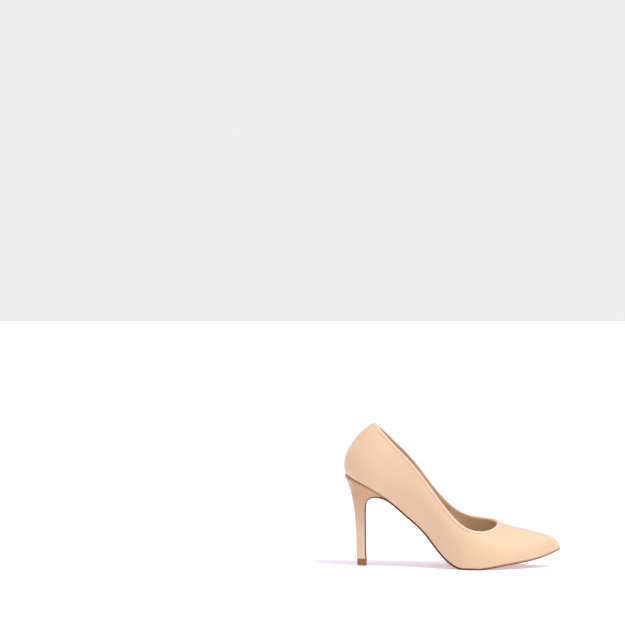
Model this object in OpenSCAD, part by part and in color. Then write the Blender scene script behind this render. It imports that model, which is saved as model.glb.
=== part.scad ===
// Pointed high heel pump, right foot, size EU 38, on a covered stiletto heel.
// Toe towards +X, outer side towards -Y, floor at Z = 0, lengths in mm.

/* [Size] */
// Length from the back of the heel seat to the toe tip
shoe_length = 226.1; // [205:0.1:260]
// Width of the sole across the ball
ball_width = 73.1; // [66:0.1:84]
// Height of the sole under the back of the heel seat
heel_height = 94.5; // [80:0.5:105]

/* [Upper] */
// Thickness of the upper material
upper_thickness = 1; // [0.8:0.1:1.4]
// Thickness of the stiffeners and backings behind the upper
backing_thickness = 0.5; // [0.4:0.1:0.8]
// Thickness of the lining
lining_thickness = 0.6; // [0.5:0.1:0.9]
// Free space kept between two glued layers
glue_gap = 0.08; // [0.05:0.01:0.12]
// Width of the upper turned under the sole edge
lasting_margin = 8; // [6:0.5:10]

/* [Topline] */
// Height of the folded edge strip
binding_height = 3; // [2:0.5:5]
// Thickness of the folded edge strip
binding_thickness = 0.3; // [0.2:0.05:0.5]
// Height of the reinforcing tape
tape_height = 6.5; // [5:0.5:9]
// Number of stitches round the edge
stitch_count = 120; // [80:1:150]
// Length of one stitch
stitch_length = 2.4; // [1.5:0.1:3]
// Thickness of the sewing thread
thread_size = 0.45; // [0.3:0.05:0.6]

/* [Bottom] */
// Thickness of the outsole and of its heel flap
sole_thickness = 1.8; // [1.4:0.1:2.5]
// Thickness of the brown layer between heel and upper
rand_thickness = 1.1; // [0.8:0.1:1.4]
// Thickness of the insole boards
board_thickness = 1.8; // [1.4:0.1:2.2]
// Thickness of the foam under the sock lining
foam_thickness = 1.2; // [1:0.1:3]
// Thickness of the sock lining
sock_thickness = 0.6; // [0.5:0.1:1]
// Distance of the insole boards from the sole edge
board_inset = 3.2; // [2.8:0.1:4]
// Width of the steel shank
shank_width = 11; // [9:0.5:14]
// Thickness of the steel shank
shank_thickness = 1.5; // [1:0.1:2]
// Radius of the shank rivets
rivet_radius = 1.5; // [1:0.1:2]

/* [Heel] */
// Thickness of the heel cover
cover_thickness = 0.9; // [0.6:0.1:1.2]
// Outer radius of the steel tube in the stem
tube_radius = 2.2; // [1.8:0.1:2.4]
// Bore radius of the steel tube
tube_bore = 1.5; // [1.2:0.1:1.6]
// Height of the top of the steel tube above the floor
tube_top = 66; // [50:1:68]
// Height of the top piece under the heel
tip_height = 6.9; // [5:0.1:9]
// Half width of the top piece
tip_radius = 5; // [4.5:0.1:6]
// Depth of the top piece from back to front
tip_depth = 9.9; // [9:0.1:12]
// Radius of the heel screw
screw_radius = 2; // [1.5:0.1:2.5]
// Length of the heel screw under its head
screw_length = 20; // [16:1:22]
// Radius of the heel nails
nail_radius = 0.9; // [0.7:0.1:1.2]
// Length of the heel nails
nail_length = 12; // [9:1:13]

/* [Smoothness] */
// Steps between two stations round the shoe
station_steps = 3; // [2:1:3]
// Sides of the screw, nails, rivets, tube and pin
round_sides = 48; // [24:8:72]

/* [Hidden] */
$fn = round_sides;

// Outline the tables are drawn for; the driving sizes scale it
BASE_LENGTH = 226.1;
BASE_BALL_WIDTH = 73.1;
BASE_HEEL_HEIGHT = 94.5;
along = shoe_length / BASE_LENGTH;
across = ball_width / BASE_BALL_WIDTH;
upwards = heel_height / BASE_HEEL_HEIGHT;

// The heel's centre line lies this far towards the inner side, which centres the shoe
axis_y = 2;

// Stations round the shoe: heel back, outer side, toe, inner side.
// Sole edge x y, topline x y z, then the four handles of the wall curve between them:
// out and up at the sole edge, out and down at the topline.
STATION_TABLE = [
    [-113, 0, -82, 0, 149.7, 15, 18, 17.5, 10.5],
    [-108.4, -13.2, -79.6, -7, 147.4, 12.5, 18, 14.5, 13],
    [-96.6, -21.3, -72.5, -13.2, 140.2, 8.5, 17, 10.5, 16],
    [-82, -24.3, -60, -18.6, 126.4, 6, 16, 7.5, 17.5],
    [-64, -22.6, -41, -22.8, 107.4, 4.5, 15, 6, 17],
    [-43, -20, -20, -26, 79.8, 3.5, 14, 5, 16],
    [-22, -23.5, 1, -29.2, 52.8, 3.2, 13, 5.5, 13.5],
    [0, -34, 17.5, -28.8, 41, 3.2, 12.5, 7, 11],
    [24, -39.3, 31, -24, 38.4, 3.2, 12, 9.5, 9],
    [50, -34.5, 39.5, -17, 39.4, 3, 11.5, 13.5, 7.5],
    [74, -23.5, 44.2, -9.5, 41.4, 2.8, 11.5, 19, 8],
    [95, -12.6, 46.6, -3.5, 43.2, 2.6, 12.4, 27.5, 8.6],
    [108.6, -5.4, 47.5, 0.5, 44.5, 3.6, 14.4, 36, 10.6],
    [113.2, 0, 47.7, 3, 45.2, 5.6, 15.8, 39, 11.4],
    [108.6, 5.2, 47.4, 5.5, 45.8, 3.6, 14.4, 36, 11.6],
    [95, 12, 46.3, 9.5, 46.7, 2.6, 12.4, 27.5, 9.6],
    [74, 21, 43.7, 14.5, 47.8, 2.8, 11.5, 19, 9.5],
    [50, 29.8, 38.3, 20, 48.6, 3, 12, 13, 9],
    [26, 34.5, 28.5, 24.6, 49.4, 3, 12.5, 9, 10.5],
    [2, 28, 14, 27.4, 52.4, 3, 13, 6.5, 13],
    [-20, 18, -2, 27.6, 61.8, 3.2, 13.5, 5, 15.5],
    [-43, 16.4, -21.5, 25.3, 83.3, 3.5, 14, 4.5, 17],
    [-64, 20.6, -41.5, 22.4, 110.3, 4.5, 15, 6, 17],
    [-82, 24, -60, 18.2, 128.8, 6, 16, 7.5, 17.5],
    [-96.6, 21.3, -72.5, 13, 141.6, 8.5, 17, 10.5, 16],
    [-108.4, 13.2, -79.6, 7, 147.8, 12.5, 18, 14.5, 13]
];
STATION_SCALE = [along, across, along, across, upwards, across, upwards, along, upwards];
STATIONS = [for (row = STATION_TABLE) [for (k = [0:8]) row[k] * STATION_SCALE[k]]];
station_count = len(STATIONS);

// Side view of the underside of the sole, x z, from behind the heel to past the toe
PROFILE = [
    [-126, 100.9], [-113, 94.6], [-100, 88.1], [-87, 81.4], [-74, 73.7], [-61, 63.9],
    [-49, 53.2], [-38, 43.9], [-28.5, 34.2], [-20, 23.3], [-12, 13.6], [-4, 6.2],
    [4, 1.4], [12, -0.1], [20, -0.2], [28, -0.05], [36, 0.9], [46, 2.6],
    [58, 4.6], [70, 6.2], [82, 8], [94, 10.7], [104, 14.3], [113, 18.1],
    [126, 23]
];

// Heel rings from the seat down: back x z, front face of the flap x z, half width
HEEL_TABLE = [
    [-112.9, 94.6, -70.5, 70.3, 24.3], [-111.7, 91.4, -76, 72, 22.4],
    [-109.7, 87, -81.4, 71.9, 19], [-107.6, 81.5, -85.8, 70.5, 15],
    [-105.9, 75, -88.6, 67.8, 11.6], [-104.6, 68, -90, 63.6, 9],
    [-103, 59, -90.4, 56.5, 7.3], [-101.9, 47.6, -90.4, 47, 6.3],
    [-101.2, 36, -90.3, 36, 5.7], [-100.7, 24, -90.2, 24, 5.4],
    [-100.3, 14, -90, 14, 5.15], [-100, 7, -89.7, 7, 5]
];

// ---- smooth curves -------------------------------------------------------------------

function basis(t) = [
    pow(1 - t, 3), 3 * pow(t, 3) - 6 * t * t + 4,
    -3 * pow(t, 3) + 3 * t * t + 3 * t + 1, pow(t, 3)
] / 6;

// Control rows of a closed smooth curve that passes close to the given rows
function loop_controls(rows) = let (n = len(rows))
    [for (i = [0:n - 1]) (8 * rows[i] - rows[(i + n - 1) % n] - rows[(i + 1) % n]) / 6];

function loop_point(controls, s) =
    let (n = len(controls), w = ((s % n) + n) % n, i = floor(w))
    basis(w - i) * [controls[(i + n - 1) % n], controls[i], controls[(i + 1) % n],
        controls[(i + 2) % n]];

// The same for an open curve, run on straight past both ends
function line_controls(rows) =
    let (n = len(rows),
         wide = concat([2 * rows[0] - rows[1]], rows, [2 * rows[n - 1] - rows[n - 2]]),
         middle = [for (i = [1:n]) (8 * wide[i] - wide[i - 1] - wide[i + 1]) / 6])
    concat([2 * middle[0] - middle[1]], middle, [2 * middle[n - 1] - middle[n - 2]]);

function line_point(controls, u) =
    let (last = len(controls) - 3, i = min(floor(max(u, 0)), last - 1))
    basis(min(u, last) - i) * [for (k = [0:3]) controls[i + k]];

// ---- underside of the shoe -----------------------------------------------------------

PROFILE_CONTROLS = line_controls([for (p = PROFILE) [p[0] * along, p[1] * upwards]]);
PROFILE_STEP = 0.1;
PROFILE_POINTS = [for (u = [0:PROFILE_STEP:len(PROFILE) - 1 - PROFILE_STEP / 2])
    line_point(PROFILE_CONTROLS, u)];

function sole_z(x) = max(0, lookup(x, PROFILE_POINTS));
function sole_slope(x) =
    (lookup(x + 1, PROFILE_POINTS) - lookup(x - 1, PROFILE_POINTS)) / 2;
function sole_up(x) = let (k = sole_slope(x)) [-k, 0, 1] / sqrt(1 + k * k);

// Point above the underside at plan position x, y: depth is measured square to it
function above_sole(x, y, depth) = [x, y, sole_z(x)] + depth * sole_up(x);

// ---- outline and wall of the upper ---------------------------------------------------

CONTROLS = loop_controls(STATIONS);

// Half of the station step over which directions along the loops are taken
STATION_NUDGE = 0.15;

function outline(s) = let (p = loop_point(CONTROLS, s)) [p[0], p[1]];
function plan_out(from, to) = let (d = to - from) [d[1], -d[0]] / norm([d[0], d[1]]);
function outline_out(s) = plan_out(outline(s - STATION_NUDGE), outline(s + STATION_NUDGE));
function foot_point(s) = let (p = outline(s)) above_sole(p[0], p[1], sole_thickness);
function top_point(s) = let (p = loop_point(CONTROLS, s)) [p[2], p[3], p[4]];
function level(v) = [v[0], v[1], 0];
function unit(v) = v / norm(v);

// The four points of the wall curve at one station, sole edge to topline
function rib(s) =
    let (p = loop_point(CONTROLS, s), before = s - STATION_NUDGE, after = s + STATION_NUDGE,
         foot = foot_point(s), top = top_point(s), lift = sole_up(p[0]),
         foot_out = level(plan_out(foot_point(before), foot_point(after))),
         top_out = level(plan_out(top_point(before), top_point(after))))
    [foot, foot + p[5] * foot_out + p[6] * lift, top + p[7] * top_out - p[8] * lift, top];

function on_rib(r, t) = let (q = 1 - t)
    q * q * q * r[0] + 3 * t * q * q * r[1] + 3 * t * t * q * r[2] + t * t * t * r[3];
function rib_rise(r, t) = let (q = 1 - t)
    3 * q * q * (r[1] - r[0]) + 6 * t * q * (r[2] - r[1]) + 3 * t * t * (r[3] - r[2]);

// Station data used by every layer: rib, the ribs just before and after, plan outward
function strip(s) = [rib(s), rib(s - STATION_NUDGE), rib(s + STATION_NUDGE), outline(s),
    outline_out(s), s];

function wall_inward(strip, t) =
    unit(cross(rib_rise(strip[0], t), on_rib(strip[2], t) - on_rib(strip[1], t)));
function wall_point(strip, t, depth) = on_rib(strip[0], t) + depth * wall_inward(strip, t);

// Height fraction of a line a given distance below the topline
function below_top(strip, distance) =
    1 - distance / (3 * norm(strip[0][3] - strip[0][2]));

// Rows of every layer of the wall, so that neighbouring layers stay parallel
LOW_ROWS = [0.1, 0.25, 0.42, 0.6, 0.76];

function corner_point(strip, depth) =
    let (lift = sole_up(strip[3][0]), inward = wall_inward(strip, 0))
    strip[0][0] + depth * (lift + inward) / (1 + lift * inward);

// Station and share of the full width of the turned-under margin: narrow round the toe tip
MARGIN_SHARE = [[0, 1], [8, 1], [9, 0.95], [10, 0.8], [11, 0.55], [12, 0.3], [13, 0.3],
    [14, 0.3], [15, 0.55], [16, 0.8], [17, 0.95], [18, 1], [station_count, 1]];
function wrapped(s) = ((s % station_count) + station_count) % station_count;
function margin_at(s) = lasting_margin * lookup(wrapped(s), MARGIN_SHARE);
function margin_point(strip, depth, share) =
    let (p = strip[3] - share * margin_at(strip[5]) * strip[4])
    above_sole(p[0], p[1], sole_thickness + depth);

// One column of a layer that is turned under the insole and runs up to fraction `end`
function turned_column(strip, depth, rows) = concat(
    [margin_point(strip, depth, 1), margin_point(strip, depth, 0.5),
        corner_point(strip, depth)],
    [for (t = rows) wall_point(strip, t, depth)]);
function wall_column(strip, depth, rows) = [for (t = rows) wall_point(strip, t, depth)];

function full_rows(strip) = concat(LOW_ROWS,
    [below_top(strip, tape_height), below_top(strip, binding_height), 1]);
function stiffener_rows(strip) = concat(LOW_ROWS, [below_top(strip, tape_height)]);
function tape_rows(strip) = [below_top(strip, tape_height - 2 * glue_gap),
    below_top(strip, binding_height), below_top(strip, glue_gap)];

// Stations from `from` to `to`; ends are pulled in a little so that butted pieces stay apart
SEAM_NUDGE = 0.01;
function strips(from, to) = let (step = 1 / station_steps)
    [for (s = concat([from + SEAM_NUDGE], [for (s = [from + step:step:to - step / 2]) s],
        [to - SEAM_NUDGE])) strip(s)];
function all_round() = [for (k = [0:station_count * station_steps - 1])
    strip(k / station_steps)];

// Depth of each layer below the outer face of the upper
backing_depth = upper_thickness + glue_gap;
lining_depth = backing_depth + backing_thickness + glue_gap;
wall_thickness = lining_depth + lining_thickness;

// ---- solids from two facing grids of points ------------------------------------------

// A four-sided facet as two triangles
function facet(a, b, c, d) = [[a, b, c], [a, c, d]];

// Solid between an outer and an inner grid, point [i][j]; closed joins the last i to the first
module shell(outer, inner, closed = false) {
    n = len(outer);
    m = len(outer[0]);
    last = closed ? n - 1 : n - 2;
    function o(i, j) = (i % n) * m + j;
    function p(i, j) = n * m + (i % n) * m + j;
    points = concat([for (row = outer) each row], [for (row = inner) each row]);
    sides = [for (i = [0:last]) for (j = [0:m - 2]) each concat(
        facet(o(i, j), o(i, j + 1), o(i + 1, j + 1), o(i + 1, j)),
        facet(p(i, j), p(i + 1, j), p(i + 1, j + 1), p(i, j + 1)))];
    rims = [for (i = [0:last]) each concat(
        facet(o(i, 0), o(i + 1, 0), p(i + 1, 0), p(i, 0)),
        facet(o(i + 1, m - 1), o(i, m - 1), p(i, m - 1), p(i + 1, m - 1)))];
    ends = closed ? [] : [for (j = [0:m - 2]) each concat(
        facet(o(0, j + 1), o(0, j), p(0, j), p(0, j + 1)),
        facet(o(n - 1, j), o(n - 1, j + 1), p(n - 1, j + 1), p(n - 1, j)))];
    translate([0, axis_y, 0]) polyhedron(points, concat(sides, rims, ends));
}

module turned_layer(sections, depth, thickness, closed = false) {
    shell([for (k = sections) turned_column(k, depth, full_rows(k))],
        [for (k = sections) turned_column(k, depth + thickness, full_rows(k))], closed);
}

// The stiffeners reach up over the first row_count rows
module turned_stiffener(sections, row_count) {
    function rows(k) = let (r = stiffener_rows(k)) [for (i = [0:row_count - 1]) r[i]];
    shell([for (k = sections) turned_column(k, backing_depth, rows(k))],
        [for (k = sections) turned_column(k, backing_depth + backing_thickness, rows(k))]);
}

module wall_backing(sections) {
    shell([for (k = sections) wall_column(k, backing_depth, stiffener_rows(k))],
        [for (k = sections) wall_column(k, backing_depth + backing_thickness,
            stiffener_rows(k))]);
}

// ---- upper ---------------------------------------------------------------------------

// Stations of the seams and of the ends of the hidden layers
back_seam = 0;
inner_waist_seam = 21;
vamp_seam_outer = 6;
vamp_seam_inner = 20;
grip_end_outer = 3;
grip_end_inner = 23;
puff_ends = [10.5, 15.5];
puff_rows = 4;
counter_rows = 6;
backer_ends_outer = [3, 10];
backer_ends_inner = [16, 23];

leather = [0.88, 0.72, 0.57];
board_brown = [0.55, 0.42, 0.3];
edge_brown = [0.36, 0.25, 0.17];
lining_beige = [0.85, 0.76, 0.64];
steel = [0.7, 0.71, 0.73];
core_grey = [0.75, 0.72, 0.66];

module upper_main() color(leather)
    turned_layer(strips(back_seam, inner_waist_seam), 0, upper_thickness);

module upper_inner_quarter() color(leather)
    turned_layer(strips(inner_waist_seam, station_count), 0, upper_thickness);

// Folded strip over the edge of the opening, seen in section as an upside-down U
fold_shoulder = 0.2;
fold_shoulder_rise = 0.7;
function over_top(strip, depth, rise) = strip[0][3] + depth * wall_inward(strip, 1)
    + rise * unit(strip[0][3] - strip[0][2]);
function binding_skin(strip, out, rise) =
    let (t = below_top(strip, binding_height), inner = wall_thickness + out)
    [wall_point(strip, t, -out), wall_point(strip, 1, -out),
        over_top(strip, fold_shoulder - out, fold_shoulder_rise * rise),
        over_top(strip, wall_thickness / 2, rise),
        over_top(strip, inner - fold_shoulder, fold_shoulder_rise * rise),
        wall_point(strip, 1, inner), wall_point(strip, t, inner)];

module topline_binding() color(leather) {
    sections = all_round();
    shell([for (k = sections) binding_skin(k, glue_gap + binding_thickness,
            2 * glue_gap + binding_thickness)],
        [for (k = sections) binding_skin(k, glue_gap, 2 * glue_gap)], true);
}

// Running length of the topline against the station, for evenly spaced stitches
LENGTH_STEPS = 4;
TOP_STEPS = LENGTH_STEPS * station_count;
function top_step(i) = norm(top_point(i / LENGTH_STEPS) - top_point((i - 1) / LENGTH_STEPS));
function running_length(i) = i == 0 ? [0]
    : let (before = running_length(i - 1)) concat(before, [before[i - 1] + top_step(i)]);
TOP_LENGTHS = running_length(TOP_STEPS);
TOP_LOOKUP = [for (i = [0:TOP_STEPS]) [TOP_LENGTHS[i], i / LENGTH_STEPS]];
stitch_drop = 2.2;

module topline_stitching() color(board_brown)
    for (k = [0:stitch_count - 1]) {
        s = lookup(TOP_LENGTHS[TOP_STEPS] * (k + 0.5) / stitch_count, TOP_LOOKUP);
        here = strip(s);
        t = below_top(here, stitch_drop);
        inward = wall_inward(here, t);
        run = unit(on_rib(here[2], t) - on_rib(here[1], t));
        rise = cross(run, -inward);
        centre = wall_point(here, t, -3 * glue_gap - binding_thickness - thread_size / 2);
        translate([0, axis_y, 0])
            multmatrix([for (i = [0:2]) [run[i], inward[i], rise[i], centre[i]]])
            cube([stitch_length, thread_size, thread_size], center = true);
    }

module topline_tape() color(lining_beige) {
    sections = all_round();
    shell([for (k = sections) wall_column(k, backing_depth, tape_rows(k))],
        [for (k = sections) wall_column(k, backing_depth + backing_thickness,
            tape_rows(k))], true);
}

module vamp_lining() color(lining_beige)
    turned_layer(strips(vamp_seam_outer, vamp_seam_inner), lining_depth, lining_thickness);
module lining_quarter_outer() color(lining_beige)
    turned_layer(strips(grip_end_outer, vamp_seam_outer), lining_depth, lining_thickness);
module lining_quarter_inner() color(lining_beige)
    turned_layer(strips(vamp_seam_inner, grip_end_inner), lining_depth, lining_thickness);

// The grip and the counter run round the back, from the inner to the outer side
module heel_grip() color(board_brown)
    turned_layer(strips(grip_end_inner, station_count + grip_end_outer), lining_depth,
        lining_thickness);
module heel_counter() color(board_brown)
    turned_stiffener(strips(grip_end_inner, station_count + grip_end_outer), counter_rows);

module toe_puff() color(board_brown)
    turned_stiffener(strips(puff_ends[0], puff_ends[1]), puff_rows);
module side_backer_outer() color(lining_beige)
    wall_backing(strips(backer_ends_outer[0], backer_ends_outer[1]));
module side_backer_inner() color(lining_beige)
    wall_backing(strips(backer_ends_inner[0], backer_ends_inner[1]));

// ---- flat layers of the bottom -------------------------------------------------------

// Row of points from the outer to the inner side at station u, pulled in by `inset`
ACROSS = [0, 0.2, 0.5, 0.8, 1];
function floor_row(u, depth, inset) =
    let (a = outline(u) - inset * outline_out(u),
         b = outline(station_count - u) - inset * outline_out(station_count - u))
    [for (w = ACROSS) let (p = (1 - w) * a + w * b) above_sole(p[0], p[1], depth)];

// Full station steps between two ends, leaving out steps nearly at an end
END_CLEARANCE = 0.05;
function floor_stations(from, to) = let (step = 1 / station_steps)
    concat([from], [for (u = [ceil((from + END_CLEARANCE) / step) * step:step:
        to - END_CLEARANCE]) u], [to]);

module floor_layer(from, to, depth, thickness, inset) {
    rows = floor_stations(from, to);
    shell([for (u = rows) floor_row(u, depth + thickness, inset)],
        [for (u = rows) floor_row(u, depth, inset)]);
}

// Heights of the bottom layers above the underside of the sole
board_depth = sole_thickness + wall_thickness + glue_gap;
board_top = board_depth + board_thickness;
foam_depth = board_top + glue_gap;
sock_depth = foam_depth + foam_thickness + glue_gap;

// Stations where the flat layers start at the heel and end at the toe
shank_board_start = 0.3;
board_joint = 5.9;
board_end = 12.2;
sock_ends = [0.3, 12.2];
foam_ends = [0.35, 12.05];
filler_ends = [7, 11.5];
joint_gap = 0.02;
sock_overhang = 0.2;
foam_pull_in = 0.6;
filler_pull_in = 0.5;

// Places a part on the underside line at x, y, turned square to it
module square_to_sole(x, y) {
    translate([0, axis_y, 0] + above_sole(x * along, y * across, 0))
        rotate([0, atan(-sole_slope(x * along)), 0]) children();
}

screw_x = -90;
rivet_places = [-62, -30];
nail_places = [[-101, -7.5], [-101, 7.5], [-86, -9.5], [-86, 9.5]];
hole_play = 0.05;
head_height = 1.2;
screw_head_radius = 3.8;
nail_head_radius = 1.8;
rivet_head_radius = 2.8;
plate_height = 0.5;

// Screw or nail standing head up, its head flush with the top of the board
module fastener(radius, length, head_radius, head) {
    translate([0, 0, board_top - head - hole_play]) {
        cylinder(r = head_radius, h = head);
        translate([0, 0, -length]) cylinder(r = radius, h = length);
    }
}

// Rivet with a head at each end, from under the shank to the top of the board
module rivet_shape(play = 0) {
    shank_under = sole_thickness + 3 * glue_gap;
    translate([0, 0, shank_under - play])
        cylinder(r = rivet_head_radius + play, h = plate_height + 2 * play);
    translate([0, 0, shank_under + plate_height - play])
        cylinder(r = rivet_radius + play, h = board_top - shank_under - plate_height);
    translate([0, 0, board_top - plate_height - hole_play - play])
        cylinder(r = rivet_head_radius + play, h = plate_height + hole_play + 2 * play);
}

// Hole for a screw or nail, longer than it, with a countersink open to the top
tip_room = 1;
module fastener_hole(radius, length, head_radius, head) {
    fastener(radius + hole_play, length + tip_room, head_radius + hole_play, head);
    translate([0, 0, board_top - head - 2 * hole_play])
        cylinder(r = head_radius + hole_play, h = 2 * head);
}

module bottom_holes() {
    square_to_sole(screw_x, 0)
        fastener_hole(screw_radius, screw_length, screw_head_radius, head_height);
    for (p = nail_places) square_to_sole(p[0], p[1])
        fastener_hole(nail_radius, nail_length, nail_head_radius, plate_height);
    for (x = rivet_places) square_to_sole(x, 0) rivet_shape(hole_play);
}

module insole_board() color(board_brown)
    floor_layer(board_joint + joint_gap, board_end, board_depth, board_thickness, board_inset);

module shank_board() color(board_brown) difference() {
    floor_layer(shank_board_start, board_joint, board_depth, board_thickness, board_inset);
    bottom_holes();
}

module insock_foam() color(lining_beige)
    floor_layer(foam_ends[0], foam_ends[1], foam_depth, foam_thickness,
        board_inset + foam_pull_in);
module insock() color(lining_beige)
    floor_layer(sock_ends[0], sock_ends[1], sock_depth, sock_thickness,
        board_inset - sock_overhang);

// The filler levels the hollow between the turned-under margins
module forepart_filler() color(board_brown) {
    rows = floor_stations(filler_ends[0], filler_ends[1]);
    shell([for (u = rows) floor_row(u, board_depth - glue_gap, margin_at(u) + filler_pull_in)],
        [for (u = rows) floor_row(u, sole_thickness + glue_gap,
            margin_at(u) + filler_pull_in)]);
}

shank_back = -101;
shank_front = -10;
shank_pitch = 3.5;
shank_depth = sole_thickness + 3 * glue_gap + plate_height + glue_gap;
module steel_shank() color(steel) difference() {
    xs = [for (x = [shank_back:shank_pitch:shank_front]) x * along];
    half = shank_width / 2;
    ys = [-half, -half / 3, half / 3, half];
    shell([for (x = xs) [for (y = ys) above_sole(x, y, shank_depth + shank_thickness)]],
        [for (x = xs) [for (y = ys) above_sole(x, y, shank_depth)]]);
    bottom_holes();
}

module shank_rivet() color(steel)
    for (x = rivet_places) square_to_sole(x, 0) rivet_shape();

// ---- outsole with its heel flap ------------------------------------------------------

OUTER_EDGE = [for (s = [2:0.25:8]) outline(s)];
INNER_EDGE = [for (s = [2:0.25:8]) outline(station_count - s)];

// Path of the flap: x z of its outer face, then the y of both edges
FLAP_RUN_IN = [for (place = [-50, -58, -65]) let (x = place * along)
    [x, sole_z(x), lookup(x, OUTER_EDGE), lookup(x, INNER_EDGE)]];
HEEL = [for (r = HEEL_TABLE)
    [r[0] * along, r[1] * upwards, r[2] * along, r[3] * upwards, r[4] * across]];
flap_edge_inset = 0.4;
FLAP_CONTROLS = line_controls(concat(FLAP_RUN_IN, [for (r = HEEL)
    [r[2], r[3], flap_edge_inset - r[4], r[4] - flap_edge_inset]]));
flap_end = len(FLAP_CONTROLS) - 3;
heel_row = len(FLAP_RUN_IN);

// The flap gets thinner where it turns down the breast of the heel
FLAP_THINNING = [[0, 1], [3.6, 1], [5.5, 0.6], [flap_end, 0.6]];
flap_full = sole_thickness - glue_gap;
function flap_thickness(u) = flap_full * lookup(u, FLAP_THINNING);

// Direction square to the flap, towards the heel
flap_step = 0.1;
function flap_normal(u) =
    let (a = line_point(FLAP_CONTROLS, max(u - flap_step, 0)),
         b = line_point(FLAP_CONTROLS, min(u + flap_step, flap_end)),
         d = unit([b[0] - a[0], b[1] - a[1]]))
    [d[1], 0, -d[0]];
function flap_row(u, share) =
    let (p = line_point(FLAP_CONTROLS, u), lift = share * flap_thickness(u) * flap_normal(u))
    [for (w = ACROSS) [p[0], (1 - w) * p[2] + w * p[3], p[1]] + lift];

// The sole's lower face rises towards the toe tip, which thins its edge there
toe_thinning = 0.7;
thinning_start = 80;
thinning_end = 112;
function toe_cut(u) = toe_thinning
    * lookup(outline(u)[0], [[thinning_start * along, 0], [thinning_end * along, 1]]);

// One face of the sole: share 0 is the lower face, 1 the upper one
FLAP_STATIONS = [for (u = [flap_end:-1:10]) u, for (u = [9:-0.5:1]) u];
sole_start = 4.5;
sole_end = 12.85;
function sole_face(share) = concat([for (u = FLAP_STATIONS) flap_row(u, share)],
    [for (u = floor_stations(sole_start, sole_end))
        floor_row(u, share * flap_full + (1 - share) * toe_cut(u), 0)]);

module outsole() color(edge_brown) shell(sole_face(1), sole_face(0));

// Height of the flap's upper face over the line of the underside, against x
FLAP_TOP = [for (u = [3.8:-0.2:2])
    let (p = line_point(FLAP_CONTROLS, u), n = flap_thickness(u) * flap_normal(u),
         x = p[0] + n[0])
    [x, (p[1] + n[2] - sole_z(x)) * sole_up(x)[2]]];

// The rand's front end is a wedge that lies on the flap
rand_start = 0.12;
rand_wedge = [3.4, 3.5, 3.6, 3.7, 3.78];
rand_top = sole_thickness - glue_gap;
function rand_low(u) = max(rand_top - rand_thickness,
    lookup(outline(u)[0], FLAP_TOP) + 2 * glue_gap);
RAND_STATIONS = [for (u = floor_stations(rand_start, 3.2)) u, each rand_wedge];
module seat_rand() color(edge_brown) difference() {
    shell([for (u = RAND_STATIONS) floor_row(u, rand_top, 0)],
        [for (u = RAND_STATIONS) floor_row(u, rand_low(u), 0)]);
    bottom_holes();
}

// ---- heel ----------------------------------------------------------------------------

HEEL_CONTROLS = line_controls(HEEL);
RING_STEPS = 8;
RING_ANGLES = [for (j = [0:RING_STEPS]) 90 * j / RING_STEPS];
HEEL_LEVELS = [for (q = [11:-1:7]) q, for (q = [6:-0.5:0]) q];
heel_front = -73 * along;
heel_top = sole_thickness - rand_thickness - 2 * glue_gap;

// Share of the depth and of the half width of a D-shaped ring at one angle from the back
ring_power = 2 / 3.3;
function ring_share(a) = [1 - pow(cos(a), ring_power), sin(a)];

// Half width of the seat at x, from the outline of the sole; it is pulled in by the inset,
// but never past half way to the middle
BACK_OUTER = [for (s = [0:0.25:4]) outline(s)];
BACK_INNER = [for (s = [0:0.25:4]) outline(station_count - s)];
function seat_y(x, side, inset, share) =
    share[1] == 0 ? 0 : let (y = lookup(x, side < 0 ? BACK_OUTER : BACK_INNER))
    y - side * min(inset, abs(y) / 2);

// Station of the flap against which the front of the ring at level q lies
front_start = 0.45;
front_rate = 0.2;
function front_station(q) = heel_row + max(q, front_start + front_rate * q);
function ring_front(q) =
    let (u = front_station(q), face = line_point(FLAP_CONTROLS, u),
         lift = (flap_thickness(u) + 2 * glue_gap) * flap_normal(u))
    [face[0] + lift[0], face[1] + lift[2]];
function seat_front() = let (p = above_sole(heel_front, 0, heel_top)) [p[0], p[2]];

// Over the first levels the rings change from the outline of the seat to the D shape
seat_blend = 1.5;

// One side of a heel ring at level q: side is -1 outer, +1 inner; start is the first angle
function heel_side(q, inset, side, start = 0) =
    let (row = line_point(HEEL_CONTROLS, q),
         front = q == 0 ? seat_front() : ring_front(q),
         whole_back = [row[0], row[1]],
         back = whole_back + inset * unit(front - whole_back),
         blend = pow(max(0, 1 - q / seat_blend), 2))
    [for (a = RING_ANGLES)
        let (share = ring_share(max(a, start)),
             p = back + share[0] * (front - back),
             ring_y = side * (row[4] - inset) * share[1],
             y = seat_y(p[0], side, inset, share))
        q == 0 ? above_sole(p[0], y, heel_top)
            : [p[0], (1 - blend) * ring_y + blend * y, p[1]]];

// The core's two sides meet in a narrow strip at the back, never in a line
core_start_angle = 5;
module heel_body(inset) {
    shell([for (q = HEEL_LEVELS) heel_side(q, inset, 1, core_start_angle)],
        [for (q = HEEL_LEVELS) heel_side(q, inset, -1, core_start_angle)]);
}

tube_x = -95.4 * along;
module heel_core() color(core_grey) difference() {
    heel_body(cover_thickness + glue_gap);
    translate([tube_x, axis_y, 0])
        cylinder(r = tube_radius + hole_play, h = tube_top + 2 * glue_gap);
    bottom_holes();
}

function cover_skin(inset) =
    let (inner = [for (q = HEEL_LEVELS) heel_side(q, inset, 1)],
         outer = [for (q = HEEL_LEVELS) heel_side(q, inset, -1)])
    concat([for (j = [RING_STEPS:-1:0]) [for (ring = inner) ring[j]]],
        [for (j = [1:RING_STEPS]) [for (ring = outer) ring[j]]]);

module heel_cover() color(leather) shell(cover_skin(0), cover_skin(cover_thickness));

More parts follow.
